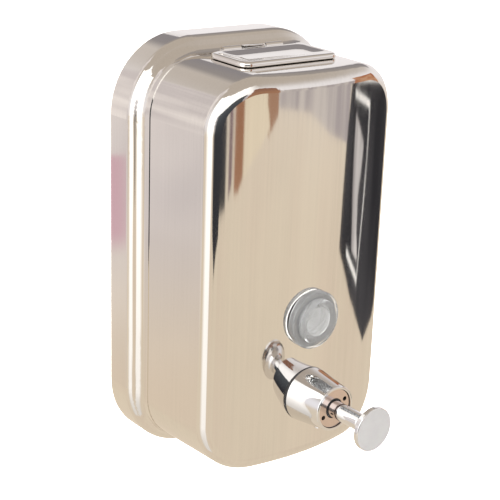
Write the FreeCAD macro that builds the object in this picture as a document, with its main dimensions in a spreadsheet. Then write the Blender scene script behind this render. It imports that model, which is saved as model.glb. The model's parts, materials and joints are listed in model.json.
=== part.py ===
import FreeCAD, Part
from Sketcher import Constraint
import math
import os
import re

# Wall mounted soap dispenser: a polished steel tank on a wall plate, with a hinged refill lid,
# a level window and a push valve.  Frame: +Z up, the wall is the plane y = 0, the front faces
# -Y, x = 0 is the plane of symmetry and the origin is the centre of the wall face.
# A "depth" is a distance from the wall towards -Y.  All sizes are millimetres or degrees.

SIZES = {
    # back shell: the wide rim against the wall
    "rim_width": 116.2,
    "rim_height": 200.0,
    "rim_corner": 35.2,
    "shoulder_depth": 15.8,
    "shoulder_run": 6.0,
    "shoulder_slope": 55.0,
    "shoulder_round": 4.8,
    "shoulder_hollow": 6.6,
    "collar_depth": 24.6,
    "collar_sheet": 0.3,
    "wall_gap": 0.5,
    # front shell: the tank
    "body_depth": 77.1,
    "side_ledge": 4.6,
    "top_ledge": 6.95,
    "shell_corner": 26.0,
    "shell_draft": 1.5,
    "crown_radius": 137.0,
    "face_round": 7.0,
    "sheet_wall": 1.0,
    # back panel that closes the tank
    "panel_depth": 13.2,
    "panel_sheet": 1.2,
    "panel_gap": 0.5,
    # wall plate and the hanger that hooks over it
    "plate_width": 84.0,
    "plate_height": 110.0,
    "plate_corner": 6.0,
    "plate_sheet": 2.0,
    "screw_across": 50.0,
    "screw_up": 70.0,
    "screw_radius": 2.6,
    "cleat_width": 60.0,
    "cleat_reach": 4.5,
    "cleat_rise": 10.0,
    "hanger_width": 66.0,
    "hanger_sheet": 1.5,
    "hanger_flange": 12.0,
    "hook_overlap": 7.2,
    "hook_gap": 1.2,
    "rest_gap": 0.1,
    "bumper_radius": 6.0,
    "bumper_across": 60.0,
    "bumper_rise": 16.0,
    "bumper_gap": 0.3,
    # refill lid, its hinge and the filler neck, all on the sloping top of the tank
    "lid_rear": 30.0,
    "lid_share": 0.3541,
    "lid_width": 55.0,
    "lid_corner": 5.0,
    "lid_top": 2.6,
    "lid_round": 1.2,
    "lid_sheet": 0.8,
    "lid_dish": 0.4,
    "lid_border": 3.6,
    "lid_gap": 0.2,
    "neck_inset": 5.0,
    "neck_corner": 3.5,
    "neck_wall": 1.0,
    "neck_rise": 0.6,
    "neck_drop": 4.0,
    "neck_gap": 0.05,
    "seal_width": 2.2,
    "seal_gap": 0.1,
    "clip_width": 10.0,
    "clip_sheet": 0.6,
    "clip_drop": 3.4,
    "clip_foot": 7.0,
    "clip_gap": 0.6,
    "pin_radius": 1.0,
    "pin_gap": 0.06,
    "knuckle_wall": 0.7,
    "knuckle_clear": 0.5,
    "knuckle_lift": 0.2,
    "knuckle_half": 7.0,
    "knuckle_gap": 0.2,
    "hinge_half": 17.0,
    "hinge_foot": 1.2,
    # level window
    "sight_rise": 37.6,
    "sight_radius": 13.7,
    "sight_flange": 3.2,
    "sight_round": 0.9,
    "dome_radius": 10.6,
    "dome_rise": 2.6,
    "dome_round": 1.8,
    "sight_stem": 8.5,
    "sight_wall": 1.7,
    "sight_reach": 11.0,
    "sight_window": 2.2,
    # parts shared by the window and the valve
    "stand_off": 0.5,
    "hole_gap": 0.2,
    "ring_radius": 13.0,
    "inner_seat": 2.6,
    "washer_sheet": 1.0,
    "nut_margin": 1.0,
    "nut_length": 5.0,
    "thread_gap": 0.05,
    # push valve
    "valve_rise": 41.5,
    "cone_radius": 13.0,
    "cone_nose": 10.6,
    "cone_length": 19.0,
    "nose_round": 0.6,
    "stem_radius": 9.0,
    "stem_reach": 24.0,
    "bore_radius": 6.2,
    "bore_reach": 17.0,
    "ball_clear": 0.6,
    "nose_wall": 1.2,
    "cap_length": 3.8,
    "cap_sunk": 0.8,
    "cap_gap": 0.1,
    "cap_lip": 1.5,
    "spanner_radius": 1.1,
    "spanner_pitch": 7.0,
    "spanner_depth": 2.0,
    "spanner_turn": 27.0,
    "seal_section": 0.8,
    "seal_sunk": 0.3,
    "shaft_radius": 4.0,
    "slide_gap": 0.05,
    "button_reach": 45.0,
    "button_radius": 10.2,
    "button_rim": 2.2,
    "button_round": 0.5,
    "button_flare": 6.0,
    "spigot_radius": 2.5,
    "spigot_length": 5.0,
    "piston_clear": 0.5,
    "piston_length": 9.0,
    "piston_gap": 0.9,
    "groove_depth": 0.8,
    "groove_width": 2.0,
    "groove_inset": 1.0,
    "tail_length": 2.6,
    "tail_nut": 3.5,
    "spring_wire": 0.45,
    "spring_clear": 1.35,
    "spring_pitch": 3.1,
    "seat_sheet": 1.0,
    "seat_bore": 2.4,
    "ball_radius": 3.0,
    "inlet_radius": 2.2,
    "ball_gap": 0.1,
    "inlet_step": 0.4,
    "inlet_length": 4.0,
    "nipple_radius": 2.7,
    "nipple_length": 4.0,
    "port_radius": 1.6,
    "port_reach": 9.5,
    "nozzle_radius": 2.6,
    "nozzle_bore": 1.5,
    "nozzle_seat": 7.0,
    "nozzle_proud": 0.9,
    # intake tube
    "tube_wall": 0.75,
    "tube_gap": 0.05,
    "tube_run": 4.6,
    "tube_bend": 7.0,
    "foot_gap": 5.0,
}

doc = FreeCAD.newDocument("soap_dispenser")


def make_sheet():
    """Put every size in the spreadsheet under its own alias."""
    sheet = doc.addObject("Spreadsheet::Sheet", "sizes")
    for row, (alias, value) in enumerate(SIZES.items(), start=1):
        sheet.set(f"A{row}", alias)
        sheet.set(f"B{row}", str(value))
        sheet.setAlias(f"B{row}", alias)
    doc.recompute()
    return sheet


sheet = make_sheet()


# ---- derived places, as formulas over the sizes --------------------------------------------

SHELL_WIDTH = "(rim_width - 2 * side_ledge)"
SHELL_HEIGHT = "(rim_height - 2 * top_ledge)"
VALVE_LEVEL = "(valve_rise - rim_height / 2)"
SIGHT_LEVEL = f"({VALVE_LEVEL} + sight_rise)"
FACE = "body_depth"
COLLAR = "(body_depth + stand_off)"
NOSE = f"({COLLAR} + cone_length)"
CAP_REAR = f"({NOSE} - cap_sunk - cap_length)"
PISTON_FRONT = f"({CAP_REAR} - piston_gap)"
PISTON_REAR = f"({PISTON_FRONT} - piston_length)"
BUTTON_FACE = "(body_depth + button_reach)"
BUTTON_REAR = f"({BUTTON_FACE} - button_rim - button_flare)"
STEM_REAR = "(body_depth - stem_reach)"
SPRING_SEAT = "(body_depth - bore_reach + seat_sheet)"
INNER_SEAT = "(body_depth - inner_seat)"
WASHER_REAR = f"({INNER_SEAT} - washer_sheet)"
NUT_REAR = f"({WASHER_REAR} - nut_length)"
LID_LENGTH = "(lid_share * body_depth)"
LID_LEVEL = f"({SHELL_HEIGHT} / 2 - tan(shell_draft) * (lid_rear - panel_depth))"
ROOF_UNDER = "(lid_top - lid_dish - lid_sheet)"
TUBE_DEPTH = f"({STEM_REAR} - inlet_length - tube_run - tube_bend)"
TUBE_RADIUS = "(nipple_radius + tube_gap + tube_wall)"
TANK_FLOOR = f"(-{SHELL_HEIGHT} / 2 + tan(shell_draft) * ({TUBE_DEPTH} - panel_depth) + sheet_wall)"
PANEL_REAR = "(panel_depth - panel_sheet)"
SEAL_RADIUS = "(shaft_radius + seal_section)"
PISTON_RADIUS = "(bore_radius - piston_clear)"
GROOVE_RADIUS = f"({PISTON_RADIUS} - groove_depth)"
SPRING_RADIUS = "(bore_radius - spring_clear)"
CAP_RADIUS = "(cone_nose - nose_wall - cap_gap)"
CAGE_RADIUS = "(ball_radius + ball_clear)"
NUT_RADIUS = "(ring_radius + nut_margin)"
KNUCKLE_RADIUS = "(pin_radius + knuckle_wall)"
KNUCKLE_BACK = f"({KNUCKLE_RADIUS} + knuckle_clear)"
KNUCKLE_RISE = f"({KNUCKLE_RADIUS} + knuckle_lift)"


# ---- small tools ----------------------------------------------------------------------------

OUTWARD = FreeCAD.Rotation(FreeCAD.Vector(1, 0, 0), 90)
UPWARD = FreeCAD.Rotation()
ACROSS = FreeCAD.Rotation(FreeCAD.Vector(0, 1, 0), 90)
LEANING = FreeCAD.Rotation(FreeCAD.Vector(1, 0, 0), 1)
finished = {}


def formula(text):
    """Point each size named in a formula at its cell of the sheet."""
    return re.sub(r"\b([a-z]+_[a-z]+)\b", r"sizes.\1", str(text))


def bind(item, bindings):
    """Tie properties of an object to formulas."""
    for path, text in bindings.items():
        item.setExpression(path, formula(text))
    return item


def put(item, turn, x="0", y="0", z="0"):
    """Place an object: a fixed turn, and a base tied to formulas."""
    item.Placement = FreeCAD.Placement(FreeCAD.Vector(), turn)
    return bind(item, {"Placement.Base.x": x, "Placement.Base.y": y, "Placement.Base.z": z})


def top_place(x="0", y="0", z="0"):
    """Formulas of a point on the sloping top: x across, y back from the lid's rear edge, z up."""
    return (x, f"-lid_rear + cos(shell_draft) * ({y}) - sin(shell_draft) * ({z})",
            f"{LID_LEVEL} + sin(shell_draft) * ({y}) + cos(shell_draft) * ({z})")


def put_on_top(item, x="0", y="0", z="0"):
    """Place an object on the sloping top, and lean it with the top."""
    put(item, LEANING, *top_place(x, y, z))
    return bind(item, {"Placement.Rotation.Angle": "shell_draft"})


def primitive(kind, name, bindings):
    return bind(doc.addObject(kind, name), bindings)


def rod(name, radius, start, length, level="0", x="0"):
    """Round bar along -Y whose rear end is at depth `start`."""
    item = primitive("Part::Cylinder", name, {"Radius": radius, "Height": length})
    return put(item, OUTWARD, x, f"-({start})", level)


def taper(name, rear, front, start, length, level):
    """Cone along -Y."""
    item = primitive("Part::Cone", name, {"Radius1": rear, "Radius2": front, "Height": length})
    return put(item, OUTWARD, "0", f"-({start})", level)


def post(name, radius, low, length, depth, x="0"):
    """Round bar along +Z."""
    item = primitive("Part::Cylinder", name, {"Radius": radius, "Height": length})
    return put(item, UPWARD, x, f"-({depth})", low)


def block(name, wide, deep, tall, depth, low, x=None):
    """Box centred across on x unless told otherwise, with its wall side at `depth`."""
    item = primitive("Part::Box", name, {"Length": wide, "Width": deep, "Height": tall})
    return put(item, UPWARD, x or f"-({wide}) / 2", f"-({depth}) - ({deep})", low)


def top_block(name, wide, long, tall, y, z, x=None):
    """Box on the sloping top, running forwards from y."""
    item = primitive("Part::Box", name, {"Length": wide, "Width": long, "Height": tall})
    return put_on_top(item, x or f"-({wide}) / 2", f"({y}) - ({long})", z)


def cut(name, base, tool):
    item = doc.addObject("Part::Cut", name)
    item.Base, item.Tool = base, tool
    return item


def fuse(name, *pieces):
    item = doc.addObject("Part::MultiFuse", name)
    item.Shapes = list(pieces)
    return item


def common(name, *pieces):
    item = doc.addObject("Part::MultiCommon", name)
    item.Shapes = list(pieces)
    return item


def ring(name, outer, inner, start, length, level):
    """Flat ring along -Y, bored right through."""
    body = rod(f"{name}_disc", outer, start, length, level)
    hole = rod(f"{name}_hole", inner, f"{start} - 1", f"{length} + 2", level)
    return cut(name, body, hole)


def hexagon(name, radius, bore, start, length, level):
    """Hexagonal nut along -Y."""
    prism = primitive("Part::Prism", f"{name}_prism", {"Circumradius": radius, "Height": length})
    put(prism, OUTWARD, "0", f"-({start})", level)
    return cut(name, prism, rod(f"{name}_hole", bore, f"{start} - 1", f"{length} + 2", level))


def rounded(name, base, radius, chosen):
    """Round the edges of a boolean that the test `chosen` picks."""
    doc.recompute()
    item = doc.addObject("Part::Fillet", name)
    item.Base = base
    picked = [i for i, edge in enumerate(base.Shape.Edges, start=1) if chosen(edge)]
    if not picked:
        raise RuntimeError(f"{name}: no edge to round")
    item.Edges = [(i, radius, radius) for i in picked]
    return item


def circle_at(radius, depth):
    """Test for a round edge of this radius about a -Y axis at this depth."""
    def chosen(edge):
        curve = edge.Curve
        return (isinstance(curve, Part.Circle) and abs(curve.Radius - radius) < 0.01
                and abs(curve.Center.y + depth) < 0.01 and abs(curve.Axis.y) > 0.99)
    return chosen


def finish(item, node):
    """Keep an object as a node of the assembly."""
    item.Label = node
    finished[node] = item
    return item


# ---- sketches of the pressed parts -----------------------------------------------------------

def plane(body, role):
    return next(f for f in body.Origin.OriginFeatures if f.Role == role)


def new_body(name):
    return doc.addObject("PartDesign::Body", name)


def new_sketch(body, name, role, offset="0"):
    sketch = body.newObject("Sketcher::SketchObject", name)
    sketch.AttachmentSupport = [(plane(body, role), "")]
    sketch.MapMode = "FlatFace"
    bind(sketch, {"AttachmentOffset.Base.z": offset})
    return sketch


def point_of(shape, end):
    """Start, end or centre of a drawn line or arc."""
    return {1: lambda: shape.StartPoint, 2: lambda: shape.EndPoint, 3: lambda: shape.Center}[end]()


def constrain(sketch, label, text, kind, *places):
    """Add a dimension to a sketch at its drawn value and tie it to a formula."""
    shape = sketch.Geometry[places[0]]
    drawn = shape.Radius if kind == "Radius" else getattr(point_of(shape, places[1]), kind[-1].lower())
    index = sketch.addConstraint(Constraint(kind, *places, drawn))
    sketch.renameConstraint(index, label)
    sketch.setExpression(f"Constraints.{label}", formula(text))


def draw_rounded_rectangle(sketch, width, height, corner, centre="0"):
    """Rounded rectangle centred across, with its centre at height `centre`."""
    far, near, radius = 50.0, 30.0, 20.0
    up = FreeCAD.Vector(0, 0, 1)
    ends = [((-near, -far), (near, -far)), ((far, -near), (far, near)),
            ((near, far), (-near, far)), ((-far, near), (-far, -near))]
    for start, stop in ends:
        sketch.addGeometry(Part.LineSegment(FreeCAD.Vector(*start, 0), FreeCAD.Vector(*stop, 0)))
    quarter = math.pi / 2
    for turn, (x, y) in enumerate([(near, -near), (near, near), (-near, near), (-near, -near)]):
        round_part = Part.Circle(FreeCAD.Vector(x, y, 0), up, radius)
        sketch.addGeometry(Part.ArcOfCircle(round_part, (turn - 1) * quarter, turn * quarter))
    for side in range(4):
        arc, following = 4 + side, (side + 1) % 4
        sketch.addConstraint(Constraint("Tangent", side, 2, arc, 1))
        sketch.addConstraint(Constraint("Tangent", arc, 2, following, 1))
    for side, kind in enumerate(["Horizontal", "Vertical", "Horizontal", "Vertical"]):
        sketch.addConstraint(Constraint(kind, side))
    for arc in (5, 6, 7):
        sketch.addConstraint(Constraint("Equal", 4, arc))
    constrain(sketch, "corner", corner, "Radius", 4)
    constrain(sketch, "right", f"({width}) / 2", "DistanceX", 1, 1)
    constrain(sketch, "left", f"-({width}) / 2", "DistanceX", 3, 1)
    constrain(sketch, "bottom", f"({centre}) - ({height}) / 2", "DistanceY", 0, 1)
    constrain(sketch, "top", f"({centre}) + ({height}) / 2", "DistanceY", 2, 1)


def pad(body, name, sketch, length, draft=None, reverse=False):
    item = body.newObject("PartDesign::Pad", name)
    item.Profile = sketch
    item.Reversed = reverse
    bind(item, {"Length": length})
    if draft:
        bind(item, {"TaperAngle": draft})
    doc.recompute()
    return item


def pressed_form(name, width, height, corner, start, length, draft=None):
    """Body pressed along -Y from depth `start`."""
    body = new_body(name)
    sketch = new_sketch(body, f"{name}_outline", "XZ_Plane", start)
    draw_rounded_rectangle(sketch, width, height, corner)
    pad(body, f"{name}_pad", sketch, length, draft)
    return body


def round_body(body, name, radius, edges):
    base = body.Tip
    item = body.newObject("PartDesign::Fillet", name)
    item.Base = (base, edges)
    bind(item, {"Radius": radius})
    doc.recompute()
    return item


def edge_names(shape, chosen):
    return [f"Edge{i}" for i, edge in enumerate(shape.Edges, start=1) if chosen(edge)]


def rim_form(name, inset):
    """Rim taken in by `inset`: a straight band, then a shoulder that slopes to the tank."""
    width, height = f"rim_width - 2 * ({inset})", f"rim_height - 2 * ({inset})"
    corner = f"rim_corner - ({inset})"
    bend = f"shoulder_depth - ({inset}) * tan(shoulder_slope / 2)"
    start = f"wall_gap - 2 * ({inset})"
    body = pressed_form(name, width, height, corner, start, f"{bend} - ({start})")
    sketch = new_sketch(body, f"{name}_shoulder", "XZ_Plane", bend)
    draw_rounded_rectangle(sketch, width, height, corner)
    pad(body, f"{name}_slope", sketch, "shoulder_run", "-shoulder_slope")
    return body


def level_edges(body, near, far):
    """Names of the edges of a body that lie wholly between two depths."""
    return edge_names(body.Shape, lambda e: all(-far < v.Y < -near for v in e.Vertexes))


def crown_sketch(body, name, inset):
    """Everything in front of the crowned face, drawn on the plan."""
    sketch = new_sketch(body, name, "XY_Plane")
    vector = FreeCAD.Vector
    half = math.asin((sheet.rim_width / 2 + 10) / sheet.crown_radius)
    centre = vector(0, sheet.crown_radius - sheet.body_depth, 0)
    circle = Part.Circle(centre, vector(0, 0, 1), sheet.crown_radius)
    arc = Part.ArcOfCircle(circle, 1.5 * math.pi - half, 1.5 * math.pi + half)
    left, right = arc.StartPoint, arc.EndPoint
    sketch.addGeometry(arc)
    sketch.addGeometry(Part.LineSegment(right, vector(right.x, -200, 0)))
    sketch.addGeometry(Part.LineSegment(vector(right.x, -200, 0), vector(left.x, -200, 0)))
    sketch.addGeometry(Part.LineSegment(vector(left.x, -200, 0), left))
    for first, first_end, second, second_end in ((0, 2, 1, 1), (1, 2, 2, 1), (2, 2, 3, 1), (3, 2, 0, 1)):
        sketch.addConstraint(Constraint("Coincident", first, first_end, second, second_end))
    for line, kind in ((1, "Vertical"), (2, "Horizontal"), (3, "Vertical")):
        sketch.addConstraint(Constraint(kind, line))
    sketch.addConstraint(Constraint("PointOnObject", 0, 3, -2))
    constrain(sketch, "radius", f"crown_radius - ({inset})", "Radius", 0)
    constrain(sketch, "centre", "crown_radius - body_depth", "DistanceY", 0, 3)
    constrain(sketch, "right", "rim_width / 2 + 10", "DistanceX", 1, 1)
    constrain(sketch, "left", "-rim_width / 2 - 10", "DistanceX", 3, 1)
    constrain(sketch, "front", "-2 * body_depth", "DistanceY", 2, 1)
    return sketch


def tank_form(name, inset):
    """Solid in the shape of the drafted, crowned tank, taken in by `inset`."""
    body = pressed_form(name, f"{SHELL_WIDTH} - 2 * ({inset})", f"{SHELL_HEIGHT} - 2 * ({inset})",
                        f"shell_corner - ({inset})", "panel_depth",
                        "body_depth - panel_depth + 5", "-shell_draft")
    before = body.Shape.Volume
    pocket = body.newObject("PartDesign::Pocket", f"{name}_crown")
    pocket.Profile = crown_sketch(body, f"{name}_plan", inset)
    pocket.Type = "ThroughAll"
    pocket.Midplane = True
    doc.recompute()
    if body.Shape.Volume > before - 1000:
        raise RuntimeError(f"{name}: the crown took nothing off")
    crown = next(f for f in body.Shape.Faces
                 if isinstance(f.Surface, Part.Cylinder) and f.Surface.Radius > 100)
    edges = edge_names(body.Shape, lambda e: any(e.isSame(c) for c in crown.Edges))
    round_body(body, f"{name}_round", f"face_round - ({inset})", edges)
    return body


# ---- sub-parts --------------------------------------------------------------------------------

def make_lid_form(name, inset, low, high, corner="lid_corner"):
    """Rounded plate in the outline of the lid, on the sloping top."""
    body = new_body(name)
    sketch = new_sketch(body, f"{name}_outline", "XY_Plane")
    draw_rounded_rectangle(sketch, f"lid_width - 2 * ({inset})", f"{LID_LENGTH} - 2 * ({inset})",
                           corner, f"-{LID_LENGTH} / 2")
    pad(body, f"{name}_pad", sketch, f"({high}) - ({low})")
    return put_on_top(body, z=low)


def make_filler_frame(name, outset, low, high):
    """Rounded plate in the outline of the filler opening, made larger by `outset`."""
    return make_lid_form(name, f"neck_inset - ({outset})", low, high, f"neck_corner + ({outset})")


def make_tank():
    outer = tank_form("tank_outside", "0")
    inner = tank_form("tank_inside", "sheet_wall")
    shell = cut("tank_shell", outer, inner)
    holes = fuse(
        "tank_holes",
        rod("valve_hole", "stem_radius + hole_gap", "body_depth - 20", "40", VALVE_LEVEL),
        rod("sight_hole", "sight_stem + hole_gap", "body_depth - 20", "40", SIGHT_LEVEL),
        make_filler_frame("filler_hole", "neck_wall + neck_gap", "-10", "10"),
    )
    finish(cut("front_shell", shell, holes), "front_shell")
    return outer, inner


def make_rim(tank):
    outer = rim_form("rim_outside", "0")
    sketch = new_sketch(outer, "rim_collar", "XZ_Plane", "panel_depth")
    draw_rounded_rectangle(sketch, f"{SHELL_WIDTH} + 2 * collar_sheet", f"{SHELL_HEIGHT} + 2 * collar_sheet",
                           "shell_corner + collar_sheet")
    pad(outer, "rim_collar_pad", sketch, "collar_depth - panel_depth", "-shell_draft")
    bend = sheet.shoulder_depth
    round_body(outer, "rim_hollow", "shoulder_hollow",
               level_edges(outer, bend + 0.3, sheet.collar_depth - 0.3))
    round_body(outer, "rim_round", "shoulder_round", level_edges(outer, bend - 0.1, bend + 0.1))

    inner = rim_form("rim_inside", "sheet_wall")
    bend -= sheet.sheet_wall * math.tan(math.radians(sheet.shoulder_slope / 2))
    round_body(inner, "rim_inside_round", "shoulder_round - sheet_wall",
               level_edges(inner, bend - 0.1, bend + 0.1))
    skirt = cut("rim_skirt", outer, inner)
    finish(cut("back_shell", skirt, tank), "back_shell")
    inset = "(sheet_wall + panel_gap)"
    panel = pressed_form("back_panel", f"rim_width - 2 * {inset}", f"rim_height - 2 * {inset}",
                         f"rim_corner - {inset}", PANEL_REAR, "panel_sheet")
    finish(panel, "back_panel")


def make_wall_mount():
    plate = pressed_form("plate_blank", "plate_width", "plate_height", "plate_corner", "0", "plate_sheet")
    cleat_top = "plate_height / 2 - plate_sheet + cleat_rise"
    ledge = block("cleat_ledge", "cleat_width", "cleat_reach", "plate_sheet",
                  "plate_sheet", "plate_height / 2 - plate_sheet")
    lip = block("cleat_lip", "cleat_width", "plate_sheet", "cleat_rise",
                "plate_sheet + cleat_reach", "plate_height / 2 - plate_sheet")
    screws = [rod(f"screw_hole_{side}_{row}", "screw_radius", "-1", "plate_sheet + 2",
                  f"{up} * screw_up / 2", f"{across} * screw_across / 2")
              for side, across in (("left", -1), ("right", 1))
              for row, up in (("low", -1), ("high", 1))]
    finish(cut("wall_plate", fuse("plate_and_cleat", plate, ledge, lip), fuse("screw_holes", *screws)),
           "wall_plate")

    shelf_low = f"({cleat_top} + rest_gap)"
    hook_depth = "(plate_sheet + hook_gap)"
    shelf = block("hanger_shelf", "hanger_width", f"{PANEL_REAR} - {hook_depth}", "hanger_sheet",
                  hook_depth, shelf_low)
    hook = block("hanger_hook", "hanger_width", "hanger_sheet", "hook_overlap + hanger_sheet",
                 hook_depth, f"{shelf_low} - hook_overlap")
    flange = block("hanger_flange", "hanger_width", "hanger_sheet", "hanger_flange",
                   f"{PANEL_REAR} - hanger_sheet", shelf_low)
    finish(fuse("hanger_bracket", shelf, hook, flange), "hanger_bracket")

    pads = [rod(f"bumper_{side}", "bumper_radius", "plate_sheet + bumper_gap",
                f"{PANEL_REAR} - plate_sheet - bumper_gap", "-plate_height / 2 + bumper_rise",
                f"{across} * bumper_across / 2")
            for side, across in (("left", -1), ("right", 1))]
    finish(fuse("bumper_pads", *pads), "bumper_pads")


def make_lid():
    doc.recompute()
    plate = make_lid_form("lid_plate", "0", "lid_gap", "lid_top")
    normal = plate.Placement.Rotation.multVec(FreeCAD.Vector(0, 0, 1))
    face = max(plate.Shape.Faces, key=lambda f: f.CenterOfMass.dot(normal))
    edges = edge_names(plate.Shape, lambda e: any(e.isSame(c) for c in face.Edges))
    round_body(plate, "lid_plate_round", "lid_round", edges)
    hollow = make_lid_form("lid_hollow", "lid_sheet", "lid_gap - 2", ROOF_UNDER, "lid_corner - lid_sheet")
    dish = make_lid_form("lid_dish_form", "lid_border", "lid_top - lid_dish", "lid_top + 2",
                         "lid_corner - lid_border / 2")
    pressing = cut("lid_pressing", plate, fuse("lid_removed", hollow, dish))

    def barrel(name, radius, low, long):
        item = primitive("Part::Cylinder", name, {"Radius": radius, "Height": long})
        return put(item, ACROSS, *top_place(low, KNUCKLE_BACK, KNUCKLE_RISE))

    arm = top_block("lid_arm", "2 * knuckle_half", f"{KNUCKLE_BACK} + lid_sheet", "lid_sheet",
                    KNUCKLE_BACK, "lid_top - lid_round - lid_sheet / 2")
    knuckle = barrel("lid_knuckle", KNUCKLE_RADIUS, "-knuckle_half", "2 * knuckle_half")
    bore = barrel("lid_bore", "pin_radius + pin_gap", "-hinge_half", "2 * hinge_half")
    finish(cut("refill_lid", fuse("lid_solid", pressing, arm, knuckle), bore), "refill_lid")

    inner = "(knuckle_half + knuckle_gap)"
    lugs = []
    for side, low in (("left", "-hinge_half"), ("right", inner)):
        long = f"hinge_half - {inner}"
        lugs.append(barrel(f"hinge_knuckle_{side}", KNUCKLE_RADIUS, low, long))
        lugs.append(top_block(f"hinge_lug_{side}", long, f"2 * {KNUCKLE_RADIUS}", KNUCKLE_RISE,
                              f"{KNUCKLE_BACK} + {KNUCKLE_RADIUS}", "0", low))
    strip = top_block("hinge_strip", "2 * hinge_half", "hinge_foot", "lid_sheet",
                     f"{KNUCKLE_BACK} + {KNUCKLE_RADIUS} + hinge_foot", "0")
    bores = barrel("hinge_bore", "pin_radius + pin_gap", "-hinge_half - 1", "2 * hinge_half + 2")
    finish(cut("hinge_bracket", fuse("hinge_solid", strip, *lugs), bores), "hinge_bracket")
    finish(barrel("hinge_pin", "pin_radius", "-hinge_half", "2 * hinge_half"), "hinge_pin")

    neck = cut("neck_cut", make_filler_frame("neck_outside", "neck_wall", "-neck_drop", "neck_rise"),
               make_filler_frame("neck_inside", "0", "-neck_drop - 1", "neck_rise + 1"))
    finish(neck, "filler_neck")
    seal_low = "(neck_rise + seal_gap)"
    seal = cut("lid_seal_cut",
               make_filler_frame("seal_outside", "seal_width", seal_low, ROOF_UNDER),
               make_filler_frame("seal_inside", "0", f"{seal_low} - 1", f"{ROOF_UNDER} + 1"))
    finish(seal, "lid_gasket")

    front = f"-({LID_LENGTH} - neck_inset - clip_gap)"
    tongue = top_block("clip_tongue", "clip_width", "clip_sheet", f"{ROOF_UNDER} + clip_drop",
                       f"{front} + clip_sheet", "-clip_drop")
    foot = top_block("clip_foot_plate", "clip_width", "clip_foot", "clip_sheet",
                     f"{front} + clip_foot", f"{ROOF_UNDER} - clip_sheet")
    finish(fuse("lid_clip", tongue, foot), "lid_clip")


def make_seals(prefix, stem, level, outside, inside):
    """Outer gasket, inner gasket, washer and nut that clamp a fitting to the front face."""
    loose = ring(f"{prefix}_gasket_ring", "ring_radius", stem, "body_depth - 2", "stand_off + 2", level)
    finish(cut(f"{prefix}_gasket_cut", loose, outside), f"{prefix}_gasket")
    hole = f"{stem} + thread_gap"
    inner_ring = ring(f"{prefix}_inner_ring", "ring_radius", hole, INNER_SEAT, "inner_seat", level)
    finish(common(f"{prefix}_inner_common", inner_ring, inside), f"{prefix}_inner_gasket")
    washer = ring(f"{prefix}_washer", "ring_radius", hole, WASHER_REAR, "washer_sheet", level)
    finish(washer, f"{prefix}_washer")
    nut = hexagon(f"{prefix}_nut", NUT_RADIUS, hole, NUT_REAR, "nut_length", level)
    finish(nut, f"{prefix}_nut")


def make_sight(outside, inside):
    flange = rod("sight_flange_disc", "sight_radius", COLLAR, "sight_flange", SIGHT_LEVEL)
    dome = rod("sight_dome", "dome_radius", f"{COLLAR} + sight_flange", "dome_rise", SIGHT_LEVEL)
    stem = rod("sight_stem_rod", "sight_stem", "body_depth - sight_reach", "sight_reach + stand_off",
               SIGHT_LEVEL)
    bore_end = f"({COLLAR} + sight_flange + dome_rise - sight_window)"
    bore = rod("sight_bore_rod", "sight_stem - sight_wall", "body_depth - sight_reach - 1",
               f"{bore_end} - body_depth + sight_reach + 1", SIGHT_LEVEL)
    solid = fuse("sight_solid", flange, dome, stem)
    flange_front = sheet.body_depth + sheet.stand_off + sheet.sight_flange
    soft = rounded("sight_soft", solid, sheet.sight_round, circle_at(sheet.sight_radius, flange_front))
    dome_front = flange_front + sheet.dome_rise
    domed = rounded("sight_domed", soft, sheet.dome_round, circle_at(sheet.dome_radius, dome_front))
    finish(cut("sight_glass", domed, bore), "sight_glass")
    make_seals("sight", "sight_stem", SIGHT_LEVEL, outside, inside)


def make_valve_body(outside, inside):
    cone = taper("valve_cone", "cone_radius", "cone_nose", COLLAR, "cone_length", VALVE_LEVEL)
    stem = rod("valve_stem", "stem_radius", STEM_REAR, f"{COLLAR} - {STEM_REAR}", VALVE_LEVEL)
    recess = rod("cap_recess", f"{CAP_RADIUS} + cap_gap", CAP_REAR, f"{NOSE} - {CAP_REAR} + 1", VALVE_LEVEL)
    bore = rod("piston_bore", "bore_radius", "body_depth - bore_reach",
               f"{CAP_REAR} - body_depth + bore_reach + 0.5", VALVE_LEVEL)
    cage = rod("ball_cage", CAGE_RADIUS, f"{STEM_REAR} - 1", "stem_reach - bore_reach + 2", VALVE_LEVEL)
    port = post("outlet_port", "port_radius", f"{VALVE_LEVEL} - nozzle_seat - 1", "nozzle_seat",
                "body_depth + port_reach")
    seat = post("nozzle_seat_hole", "nozzle_radius + thread_gap", f"{VALVE_LEVEL} - cone_radius - 2",
                "cone_radius + 2 - nozzle_seat", "body_depth + port_reach")
    solid = fuse("valve_solid", cone, stem)
    nose = sheet.body_depth + sheet.stand_off + sheet.cone_length
    soft = rounded("valve_soft", solid, sheet.nose_round, circle_at(sheet.cone_nose, nose))
    finish(cut("valve_body", soft, fuse("valve_hollow", recess, bore, cage, port, seat)), "valve_body")
    make_seals("valve", "stem_radius", VALVE_LEVEL, outside, inside)

    cone_at_port = "(cone_radius - (cone_radius - cone_nose) * (port_reach - stand_off) / cone_length)"
    nozzle_length = f"({cone_at_port} + nozzle_proud - nozzle_seat)"
    nozzle_low = f"({VALVE_LEVEL} - {cone_at_port} - nozzle_proud)"
    tip = post("nozzle_tip", "nozzle_radius", nozzle_low, nozzle_length, "body_depth + port_reach")
    way = post("nozzle_way", "nozzle_bore", f"{nozzle_low} - 1", f"{nozzle_length} + 2",
               "body_depth + port_reach")
    finish(cut("outlet_nozzle", tip, way), "outlet_nozzle")


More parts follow.
